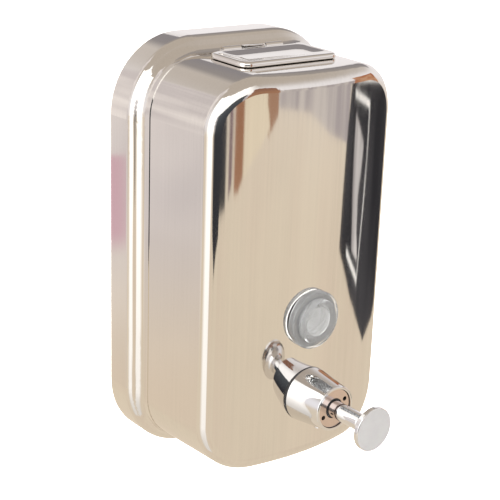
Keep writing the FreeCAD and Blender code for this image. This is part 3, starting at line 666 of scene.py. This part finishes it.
@dataclass
class RefillLid:
    """The pressed refill lid: a soft edged pressing with a dished top, curled round its hinge pin.

    Each step of the press is how far in from the edge it lies, in millimetres, and its share of
    the lid's rise.
    """

    top: float = 0.0026
    gap: float = 0.0002
    sheet: float = 0.0008
    corner: float = 0.0052
    corner_shrink: float = 0.35
    corner_least: float = 0.0012
    corner_share: float = 0.9
    lean: float = math.radians(1.5)
    pin_to_edge: float = 0.00215
    pin_to_roof: float = 0.00190
    curl_half: float = 0.0070
    curl_outer: float = 0.0017
    curl_inner: float = 0.00105
    curl_root: float = 0.0012
    curl_steps: int = 29
    curl_step: float = math.radians(10.5)
    corner_steps: int = 8
    side_steps: int = 10
    softness: int = 2
    touching: float = 1e-7
    press: tuple[tuple[float, float], ...] = (
        (0.0, 0.0), (0.0, 0.35), (0.1, 0.62), (0.4, 0.85), (0.85, 0.96), (1.5, 1.0), (2.4, 0.985),
        (3.4, 0.93), (4.6, 0.85), (5.8, 0.75), (7.0, 0.65), (8.2, 0.57), (9.4, 0.52),
        (10.8, 0.495), (12.0, 0.49))
    pin: Vector = field(init=False)
    half_width: float = field(init=False)
    half_length: float = field(init=False)
    rear: float = field(init=False)
    roof: float = field(init=False)

    def __post_init__(self) -> None:
        """Find the lid's place from the frame's own lid and hinge pin."""
        low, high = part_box("refill_lid")
        pin_low, pin_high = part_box("hinge_pin")
        self.pin = (pin_low + pin_high) / 2
        self.half_width = (high.x - low.x) / 2
        self.rear = self.pin.y - self.pin_to_edge
        self.roof = self.pin.z - self.pin_to_roof
        self.half_length = (self.rear - low.y) / 2

    def outline(self, inset: float) -> list[tuple[float, float]]:
        """Rounded rectangle, pulled in by an inset.

        Args:
            inset: how far in from the lid's edge, in metres.

        Returns:
            The points, across and forward from the middle of the lid.
        """
        wide, deep = self.half_width - inset, self.half_length - inset
        bend = min(max(self.corner - self.corner_shrink * inset, self.corner_least),
                   deep * self.corner_share)
        arcs = []
        for quarter, (across, forward) in enumerate(((1, 1), (-1, 1), (-1, -1), (1, -1))):
            turns = [quarter * QUARTER + step * QUARTER / self.corner_steps
                     for step in range(self.corner_steps + 1)]
            arcs.append([((wide - bend) * across + bend * math.cos(turn),
                          (deep - bend) * forward + bend * math.sin(turn)) for turn in turns])
        points = []
        for arc, following in zip(arcs, arcs[1:] + arcs[:1]):
            points.extend(arc)
            (x1, y1), (x2, y2) = arc[-1], following[0]
            shares = [step / self.side_steps for step in range(1, self.side_steps)]
            points.extend((x1 + (x2 - x1) * share, y1 + (y2 - y1) * share) for share in shares)
        return points

    def place(self, across: float, forward: float, up: float) -> Vector:
        """Carry a point of the lid's own plane to the sloping roof.

        Args:
            across: how far the point is from the middle line.
            forward: how far it is in front of the lid's middle.
            up: how far it is above the roof.

        Returns:
            The point in the part's frame.
        """
        reach = -self.half_length - forward
        return Vector((across, self.rear + math.cos(self.lean) * reach - math.sin(self.lean) * up,
                       self.roof + math.sin(self.lean) * reach + math.cos(self.lean) * up))

    def build(self, wardrobe: Wardrobe) -> bpy.types.Object:
        """Press the lid and curl its tab.

        Args:
            wardrobe: where the finish comes from.

        Returns:
            The lid.
        """
        work = bmesh.new()
        rise = self.top - self.gap
        outer = [(inset / MILLIMETRES, self.gap + rise * share) for inset, share in self.press]
        inner = [(max(inset, self.sheet), up - self.sheet if inset > self.sheet else
                  min(up, self.top - 2 * self.sheet)) for inset, up in outer]
        steps = [*reversed([(inset, max(up, self.gap)) for inset, up in inner]), *outer]
        join_rings(work, [[work.verts.new(self.place(x, y, up)) for x, y in self.outline(inset)]
                          for inset, up in steps])
        self.curl(work)
        bmesh.ops.dissolve_degenerate(work, edges=work.edges, dist=self.touching)
        piece = smooth_piece("pressed_lid", work)
        piece.modifiers.new("soft_press", "SUBSURF").render_levels = self.softness
        wardrobe.dress(piece, LID_STEEL)
        keep_piece(piece, "lid", "polished_steel", "refill_lid")
        return piece

    def curl(self, work: bmesh.types.BMesh) -> None:
        """Roll the tab of the lid round the hinge pin.

        Args:
            work: the mesh that it is added to.
        """
        pin = self.pin
        middle = (self.curl_outer + self.curl_inner) / 2
        half = (self.curl_outer - self.curl_inner) / 2
        line = [(self.rear - self.curl_root, pin.z + middle, 0.0, 1.0),
                (pin.y - self.pin_to_edge / 2, pin.z + middle, 0.0, 1.0)]
        for step in range(self.curl_steps):
            turn = QUARTER - self.curl_step * step
            line.append((pin.y + middle * math.cos(turn), pin.z + middle * math.sin(turn),
                         math.cos(turn), math.sin(turn)))
        corners = ((-self.curl_half, 1), (self.curl_half, 1), (self.curl_half, -1),
                   (-self.curl_half, -1))
        join_rings(work, [[work.verts.new((x, y + side * half * ny, z + side * half * nz))
                           for x, side in corners] for y, z, ny, nz in line])


@dataclass
class ValveNose:
    """Painted shade in the nose of the valve: a dark ring in the joint round the cap and dark cups
    in its two spanner holes.
    """

    joint: float = 0.00028
    joint_stand: float = 0.4
    joint_sides: int = 8
    hole: float = 0.00108
    hole_depth: float = 0.0016
    hole_sink: float = 0.0001
    floor_share: float = 0.97
    tip_share: float = 0.4
    tip_depth: float = 0.0002
    pitch: float = 0.0070
    turn: float = math.radians(27.0)
    sides: int = 40

    def finished(self, name: str, work: bmesh.types.BMesh, wardrobe: Wardrobe) -> bpy.types.Object:
        """Turn a mesh into a dark piece of painted shade that rides on the housing.

        Args:
            name: the piece's name.
            work: its mesh.
            wardrobe: where the finish comes from.

        Returns:
            The piece.
        """
        piece = smooth_piece(name, work)
        # the near-black finish here is painted shade, not a material of the valve
        wardrobe.dress(piece, PAINTED_SHADE)
        keep_piece(piece, "housing", "black_rubber")
        return piece

    def gap_shade_ring(self, wardrobe: Wardrobe) -> bpy.types.Object:
        """Lay a thin dark ring of painted shade in the joint round the cap.

        Args:
            wardrobe: where the finish comes from.

        Returns:
            The ring of painted shade.
        """
        low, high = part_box("end_cap")
        middle, radius = (low + high) / 2, (high.x - low.x) / 2
        inward = Vector((0.0, 1.0, 0.0))
        work = bmesh.new()
        rings = []
        for across, up in circle(2 * self.sides):
            out = Vector((across, 0.0, up))
            hub = Vector((middle.x, low.y, middle.z)) + out * (
                radius + self.joint * self.joint_stand)
            rings.append([work.verts.new(hub + self.joint * (proud * out + deep * inward))
                          for proud, deep in circle(self.joint_sides)])
        join_rings(work, rings, ends=(), looped=True)
        return self.finished("cap_joint", work, wardrobe)

    def hole_shade_cups(self, wardrobe: Wardrobe) -> bpy.types.Object:
        """Line the two spanner holes with dark cups of painted shade.

        Args:
            wardrobe: where the finish comes from.

        Returns:
            Both cups, as one piece.
        """
        low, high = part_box("end_cap")
        middle = (low + high) / 2
        work = bmesh.new()
        for side in (-1, 1):
            hub = Vector((side * self.pitch * math.cos(self.turn), low.y + self.hole_sink,
                          middle.z + side * self.pitch * math.sin(self.turn)))
            steps = ((self.hole, 0.0), (self.hole * self.floor_share, self.hole_depth),
                     (self.hole * self.tip_share, self.hole_depth + self.tip_depth))
            rows = [[work.verts.new(hub + Vector((radius * across, depth, radius * up)))
                     for across, up in circle(self.sides)] for radius, depth in steps]
            join_rings(work, rows, ends=(-1,))
        return self.finished("spanner_hole_liners", work, wardrobe)

    def build(self, wardrobe: Wardrobe) -> list[bpy.types.Object]:
        """Build the ring and the cups of painted shade."""
        return [self.gap_shade_ring(wardrobe), self.hole_shade_cups(wardrobe)]


@dataclass
class ReturnSpring:
    """The coil spring behind the piston, swept at the length of the frame's spring; it doesn't
    shorten with the button.
    """

    turns: float = 7.0
    end_turns: float = 1.0
    end_pull: float = -0.06
    steps: int = 28
    wire_sides: int = 10
    wire: float = 0.00045
    stroke: float = 0.014

    def centre_line(self, low: Vector, high: Vector) -> list[Vector]:
        """Points of the helix.

        Args:
            low: lowest corner of the space that the spring fills.
            high: its highest corner.

        Returns:
            The points, from the front end to the seat.
        """
        middle = (low + high) / 2
        radius = min(high.z - low.z, high.x - low.x) / 2 - self.wire
        length = high.y - low.y - 2 * self.wire
        count = int(self.turns * self.steps)
        points = []
        for step in range(count + 1):
            turn = step / self.steps
            closing = min(turn, self.turns - turn, self.end_turns) / self.end_turns
            share = step / count
            eased = share + (1 - closing) * (0.5 - share) * self.end_pull
            angle = 2 * math.pi * turn
            points.append(Vector((middle.x + radius * math.cos(angle),
                                  low.y + self.wire + length * min(1.0, max(0.0, eased)),
                                  middle.z + radius * math.sin(angle))))
        return points

    def build(self, wardrobe: Wardrobe) -> bpy.types.Object:
        """Sweep the wire along the helix.

        Args:
            wardrobe: where the finish comes from.

        Returns:
            The spring.
        """
        low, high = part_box("return_spring")
        line = self.centre_line(low, high)
        work = bmesh.new()
        rings = []
        for place, point in enumerate(line):
            ahead = line[min(place + 1, len(line) - 1)] - line[max(place - 1, 0)]
            turned = ahead.to_track_quat("Z", "Y").to_matrix()
            rings.append([
                work.verts.new(point + turned @ Vector((self.wire * x, self.wire * y, 0.0)))
                for x, y in circle(self.wire_sides)])
        join_rings(work, rings)
        piece = smooth_piece("coil_spring", work)
        wardrobe.dress(piece, SPRING)
        keep_piece(piece, "housing", "spring_steel", "return_spring")
        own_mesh(piece)
        return piece


# ---- studio -----------------------------------------------------------------------------------

def bearing_point(bearing: Bearing, distance: float) -> Vector:
    """The point on a bearing at a distance from the object."""
    turn, rise = (math.radians(angle) for angle in bearing)
    return distance * Vector((math.sin(turn) * math.cos(rise), -math.cos(turn) * math.cos(rise),
                              math.sin(rise)))


class Pattern(Enum):
    """How a card's two tones share its face."""

    RISE = "one above the other"
    FOLDS = "upright folds"
    CLOUDS = "soft clouds"


PATTERN_NOISE: dict[Pattern, tuple[Noise, Range]] = {
    Pattern.FOLDS: (Noise((4.5, 4.5, 0.25), 2.0), (0.42, 0.60)),
    Pattern.CLOUDS: (Noise((1.9, 1.9, 1.5), 2.0), (0.36, 0.62)),
}


@dataclass(frozen=True)
class Card:
    """A studio card, seen in polished metal only: corners as bearings from the object.

    A bearing is (degrees round from the front towards +X, degrees up). `soft` is how many degrees
    are faded in at the card's first side, its last side and, where given, its lower edge.
    """

    name: str
    corners: tuple[Bearing, ...]
    colour: Colour
    second: Colour | None = None
    pattern: Pattern = Pattern.RISE
    soft: tuple[float, ...] = (0.0, 0.0)
    distance: float = 3.0
    hair: float = 0.01
    face_size: float = 4.0

    def level(self, rise: float) -> float:
        """Height of a point of the card that lies so many degrees up."""
        return self.distance * math.sin(math.radians(rise))

    def material(self) -> bpy.types.Material:
        """Build the card's glow: its tones, and its sides faded where they are soft.

        Returns:
            The material.
        """
        made = bpy.data.materials.new(f"card_{self.name}")
        made.use_nodes = True
        sheet = Sheet(made.node_tree)
        where = sheet.node("ShaderNodeSeparateXYZ", {
            0: sheet.node("ShaderNodeTexCoord").outputs["Object"]})
        glow = sheet.node("ShaderNodeEmission", {"Color": opaque(self.colour)})
        if self.second:
            sheet.feed(glow, {"Color": sheet.blend(
                self.share(sheet, where), opaque(self.colour), opaque(self.second))})
        if any(self.soft):
            clear = sheet.node("ShaderNodeBsdfTransparent")
            glow = sheet.node("ShaderNodeMixShader", {
                0: self.cover(sheet, where), 1: clear.outputs[0], 2: glow.outputs[0]})
        sheet.close(glow)
        return made

    def cover(self, sheet: Sheet, where: bpy.types.Node) -> bpy.types.NodeSocket:
        """How solid the card is, fading at its soft sides.

        Args:
            sheet: the card's node tree.
            where: the separated object coordinates.

        Returns:
            A value from 0 to 1.
        """
        front = sheet.maths("MULTIPLY", where.outputs[1], -1.0)
        turn = sheet.maths("DEGREES", sheet.maths("ARCTAN2", where.outputs[0], front))
        first, last = min(a for a, _ in self.corners), max(a for a, _ in self.corners)
        cover = sheet.maths(
            "MULTIPLY", sheet.ease(turn, first, first + self.soft[0] + self.hair),
            sheet.ease(turn, last, last - self.soft[1] - self.hair))
        for fade in self.soft[2:]:
            low = min(e for _, e in self.corners)
            cover = sheet.maths("MULTIPLY", cover, sheet.ease(
                where.outputs[2], self.level(low), self.level(low + fade)))
        return cover

    def share(self, sheet: Sheet, where: bpy.types.Node) -> bpy.types.NodeSocket:
        """The share of the second tone over the card.

        Args:
            sheet: the card's node tree.
            where: the separated object coordinates.

        Returns:
            A value from 0 to 1.
        """
        if self.pattern in PATTERN_NOISE:
            kind, spread = PATTERN_NOISE[self.pattern]
            return sheet.span(sheet.noise(kind), spread, FULL)
        low, high = min(e for _, e in self.corners), max(e for _, e in self.corners)
        return sheet.ease(where.outputs[2], self.level(low), self.level(high))

    def hang(self) -> bpy.types.Object:
        """Make the card, bent to a sphere round the object.

        Returns:
            The card.
        """
        work = bmesh.new()
        face = work.faces.new([work.verts.new((a, e, 0.0)) for a, e in self.corners])
        bmesh.ops.triangulate(work, faces=[face])
        span = max(abs(a - b) for a, _ in self.corners for b, _ in self.corners)
        cuts = max(1, int(span / self.face_size))
        bmesh.ops.subdivide_edges(work, edges=work.edges, cuts=cuts, use_grid_fill=True)
        for vertex in work.verts:
            vertex.co = bearing_point((vertex.co.x, vertex.co.y), self.distance)
        made = smooth_piece(f"card_{self.name}", work)
        made.data.materials.append(self.material())
        made.visible_camera = made.visible_diffuse = made.visible_shadow = False
        return made


def edge_strip(name: str, line: tuple[Bearing, ...], colour: Colour, width: float,
               distance: float = 2.9) -> tuple[Card, ...]:
    """Thin cards along a line of bearings, one to each run.

    Args:
        name: the start of their names.
        line: the bearings that the strip joins.
        colour: what it shows.
        width: how wide it is, in degrees.
        distance: how far away it hangs.

    Returns:
        The cards.
    """
    cards = []
    for place, ((a1, e1), (a2, e2)) in enumerate(zip(line, line[1:])):
        run = math.hypot(a2 - a1, e2 - e1)
        da, de = -(e2 - e1) / run * width / 2, (a2 - a1) / run * width / 2
        cards.append(Card(f"{name}_{place}", ((a1 - da, e1 - de), (a2 - da, e2 - de),
                                              (a2 + da, e2 + de), (a1 + da, e1 + de)),
                          colour, distance=distance))
    return tuple(cards)


@dataclass(frozen=True)
class Lamp:
    """A round soft light: its bearing, its distance and size in metres, its power in watts."""

    name: str
    bearing: Bearing
    distance: float
    size: float
    power: float

    def hang(self) -> None:
        """Hang the light so that it looks at the object and doesn't show in the metal."""
        light = bpy.data.lights.new(self.name, "AREA")
        light.shape, light.size, light.energy = "DISK", self.size, self.power
        held = bpy.data.objects.new(self.name, light)
        held.location = bearing_point(self.bearing, self.distance)
        held.rotation_mode = "QUATERNION"
        held.rotation_quaternion = (-held.location).to_track_quat("-Z", "Y")
        held.visible_glossy = False
        bpy.context.scene.collection.objects.link(held)


@dataclass
class Floor:
    """A wide pale floor with a soft mottle, swept up into a pale wall all round."""

    level: float = -0.34
    reach: float = 8.0
    flat: tuple[float, ...] = (0.02, 0.15, 0.3, 0.45, 0.6)
    bend: float = 0.3
    bend_steps: int = 8
    wall_height: float = 7.0
    sides: int = 72
    mottle: Noise = Noise((3.0, 3.0, 3.0))
    tones: tuple[Colour, Colour] = ((0.90, 0.90, 0.90), (0.93, 0.93, 0.925))
    glow: float = 0.35
    dullness: float = 0.7
    shine: float = 0.1

    def profile(self) -> list[tuple[float, float]]:
        """Reach and rise, from the middle of the floor to the top of the wall.

        Returns:
            The points.
        """
        line = [(self.reach * share, 0.0) for share in self.flat]
        for step in range(self.bend_steps + 1):
            turn = QUARTER * step / self.bend_steps
            line.append((self.reach * (1 - self.bend + self.bend * math.sin(turn)),
                         self.reach * self.bend * (1 - math.cos(turn))))
        return [*line, (self.reach, self.wall_height)]

    def material(self) -> bpy.types.Material:
        """Build the floor's pale paint, which glows a little of its own.

        Returns:
            The material.
        """
        made = bpy.data.materials.new("pale_floor")
        made.use_nodes = True
        sheet = Sheet(made.node_tree)
        sheet.close(sheet.node("ShaderNodeBsdfPrincipled", {
            "Roughness": self.dullness,
            "Specular IOR Level": self.shine,
            "Emission Color": opaque((1.0, 1.0, 1.0)),
            "Emission Strength": self.glow,
            "Base Color": sheet.blend(sheet.noise(self.mottle), *map(opaque, self.tones)),
        }))
        return made

    def lay(self) -> None:
        """Sweep the floor and put it in the studio."""
        work = bmesh.new()
        join_rings(work, [[work.verts.new((reach * x, reach * y, rise))
                           for x, y in circle(self.sides)] for reach, rise in self.profile()],
                   ends=(0,))
        floor = smooth_piece("floor", work)
        floor.location.z = self.level
        floor.data.materials.append(self.material())
        floor.visible_glossy = False


@dataclass
class Studio:
    """A pale floor, soft lights, cards for the metal to mirror, and the camera."""

    floor: Floor = field(default_factory=Floor)
    eye: Vector = field(default_factory=lambda: Vector((-0.36026, -0.47630, 0.19159)))
    look: Vector = field(default_factory=lambda: Vector((0.59641, 0.73639, -0.31941)))
    roll: float = 2.018
    lens: float = 91.58
    sensor: float = 36.0
    lamps: tuple[Lamp, ...] = (
        Lamp("key", (-60.0, 42.0), 2.2, 1.6, 42.0),
        Lamp("fill", (50.0, 30.0), 2.6, 2.0, 26.0),
        Lamp("top", (0.0, 88.0), 3.4, 4.0, 260.0),
    )
    tones: tuple[tuple[float, Colour], ...] = (
        (0.30, (0.81, 0.70, 0.55)), (0.38, (0.83, 0.72, 0.57)), (0.44, (0.86, 0.79, 0.74)),
        (0.50, (0.97, 0.93, 0.94)), (0.66, (1.0, 0.97, 0.98)), (0.78, (0.62, 0.56, 0.51)),
        (0.90, (0.56, 0.49, 0.42)),
    )
    cards: tuple[Card, ...] = (
        Card("left_wall", ((-158, -27), (-121, -27), (-121, 60), (-158, 60)), (0.70, 0.64, 0.63),
             (0.97, 0.90, 0.86), Pattern.CLOUDS, (4.0, 3.0, 12.0), 3.2),
        Card("left_lamp", ((-112, -62), (-55, -62), (-55, 50), (-112, 50)), (0.86, 0.82, 0.77),
             (2.7, 2.68, 2.64), Pattern.RISE, (26.0, 8.0), 3.1),
        Card("upper_lamp", ((-78, 11), (14, 11), (8, 48), (-78, 48)), (1.5, 1.48, 1.45),
             None, Pattern.RISE, (6.0, 26.0), 3.1),
        Card("left_flag", ((-60, -11), (-46, -17), (-30, -19.3), (-1.4, -15.8), (-1.4, 12),
                           (-60, 12)),
             (0.040, 0.040, 0.046), (0.10, 0.11, 0.12), Pattern.RISE, (16.0, 0.0)),
        Card("pink_cloth", ((-149.5, -19), (-145, -19), (-145, -13.5), (-149.5, -13.5)),
             (0.70, 0.46, 0.52), None, Pattern.RISE, (1.6, 1.2, 1.5)),
        Card("thin_post", ((-0.4, -15.4), (1.2, -14.4), (1.2, 4), (-0.4, 4)), (0.17, 0.10, 0.13),
             None, Pattern.RISE, (0.3, 0.3)),
        Card("left_post", ((2.1, -15), (3.9, -14.9), (5.7, -14.1), (5.7, -2), (2.1, -2)),
             (0.40, 0.20, 0.115), (0.30, 0.13, 0.08)),
        Card("beam", ((2.1, -8.9), (20.2, -8.9), (20.2, 22), (2.1, 26)), (0.42, 0.22, 0.13),
             (0.30, 0.15, 0.10), distance=2.95),
        Card("right_post", ((15.6, -11.9), (16.3, -12.0), (20.2, -10.9), (20.2, -2), (15.6, -2)),
             (0.44, 0.26, 0.17), (0.34, 0.17, 0.11)),
        Card("cream_wall", ((5.7, -14.2), (17.5, -11.5), (17.5, -4), (5.7, -4)),
             (0.88, 0.76, 0.58)),
        Card("grey_wall", ((20.2, -10.5), (35, -10.7), (46, -11.8), (56.4, -12.3), (59, 3),
                           (20.2, 3)),
             (0.66, 0.60, 0.56), (0.47, 0.42, 0.42), Pattern.FOLDS),
        Card("right_flag", ((55.3, -17.9), (64.7, -20.6), (76, -22.8), (83, -21.5), (86, -19.7),
                            (87, -12.9), (87, -8.0), (57.9, -8.6), (56.2, -12)),
             (0.035, 0.034, 0.038), (0.075, 0.072, 0.078), Pattern.CLOUDS, (0.0, 3.0)),
        Card("warm_patch", ((57.9, -8.9), (78, -8.6), (80, 16), (58.2, 16)), (0.40, 0.12, 0.05),
             (0.62, 0.36, 0.22), Pattern.CLOUDS),
        *edge_strip("patch_edge", ((60.5, -8.9), (84.0, -8.9)), (0.85, 0.83, 0.80), 0.35),
        Card("right_sliver", ((60.8, -10.6), (63.5, -11.2), (67.4, -12.4), (65.3, -15.0),
                              (65.8, -17.0), (67.6, -18.6), (63.4, -18.0), (61.5, -14.5)),
             (0.36, 0.33, 0.33), (0.80, 0.76, 0.74), Pattern.FOLDS, (0.5, 0.5), 2.9),
        *edge_strip("sliver_edge", ((59.8, -9.6), (70.2, -10.2), (70.4, -13.0), (69.6, -16.0),
                                    (68.2, -19.6), (59.8, -18.0)), (1.15, 1.12, 1.08), 0.42, 2.85),
        Card("back_flag", ((96, 24), (176, 24), (176, 56), (96, 56)), (0.30, 0.28, 0.29),
             (0.40, 0.36, 0.33), Pattern.RISE, (14.0, 14.0)),
    )
    drift: Colour = (0.76, 0.62, 0.50)
    drift_scale: float = 3.2
    drift_spread: Range = (0.42, 0.66)
    drift_weight: Range = (0.0, 0.45)
    drift_levels: Range = (-0.12, -0.30)

    def fill_room(self) -> None:
        """Fill the room round the studio with slow tones and a warm drift below the middle."""
        world = bpy.data.worlds.new("room")
        bpy.context.scene.world = world
        world.use_nodes = True
        sheet = Sheet(world.node_tree)
        way = sheet.node("ShaderNodeTexCoord").outputs["Generated"]
        up = sheet.node("ShaderNodeSeparateXYZ", {0: way}).outputs[2]
        tones = sheet.node("ShaderNodeValToRGB", {0: sheet.span(up, (-1.0, 1.0), FULL)})
        ramp = tones.color_ramp
        ramp.interpolation = "B_SPLINE"
        for place, colour in self.tones:
            ramp.elements.new(place).color = opaque(colour)
        ramp.elements.remove(ramp.elements[0])
        ramp.elements.remove(ramp.elements[-1])
        clouds = sheet.node("ShaderNodeTexNoise", {
            "Vector": way, "Scale": self.drift_scale, "Detail": 2.0}).outputs["Fac"]
        below = sheet.maths("MULTIPLY", sheet.span(clouds, self.drift_spread, self.drift_weight),
                            sheet.ease(up, *self.drift_levels))
        sheet.close(sheet.node("ShaderNodeBackground", {
            "Color": sheet.blend(below, tones.outputs[0], opaque(self.drift))}))

    def aim(self) -> None:
        """Stand the camera at the eye point, turned along its line of sight and rolled."""
        camera = bpy.data.cameras.new("camera")
        camera.sensor_width, camera.lens = self.sensor, self.lens
        held = bpy.data.objects.new("camera", camera)
        bpy.context.scene.collection.objects.link(held)
        right = self.look.cross(Vector((0, 0, 1))).normalized()
        up = right.cross(self.look).normalized()
        turn = math.radians(self.roll)
        across = math.cos(turn) * right + math.sin(turn) * up
        upright = -math.sin(turn) * right + math.cos(turn) * up
        stand = Matrix((across, upright, -self.look.normalized())).transposed().to_4x4()
        stand.translation = self.eye
        held.matrix_world = stand
        bpy.context.scene.camera = held

    def build(self) -> None:
        """Set the whole studio."""
        bpy.context.scene.view_settings.view_transform = "Standard"
        self.aim()
        self.floor.lay()
        for lamp in self.lamps:
            lamp.hang()
        self.fill_room()
        for card in self.cards:
            card.hang()
            log.info("card %s hung", card.name)


def main() -> None:
    """Build the sub-assemblies in order."""
    logging.basicConfig(level=logging.INFO, format="%(name)s: %(message)s")
    wardrobe = Wardrobe()
    Studio().build()
    CadParts().dress(wardrobe)
    for piece in (RefillLid().build(wardrobe), *ValveNose().build(wardrobe),
                  ReturnSpring().build(wardrobe)):
        log.info("built %s", piece.name)


if __name__ == "__main__":
    main()
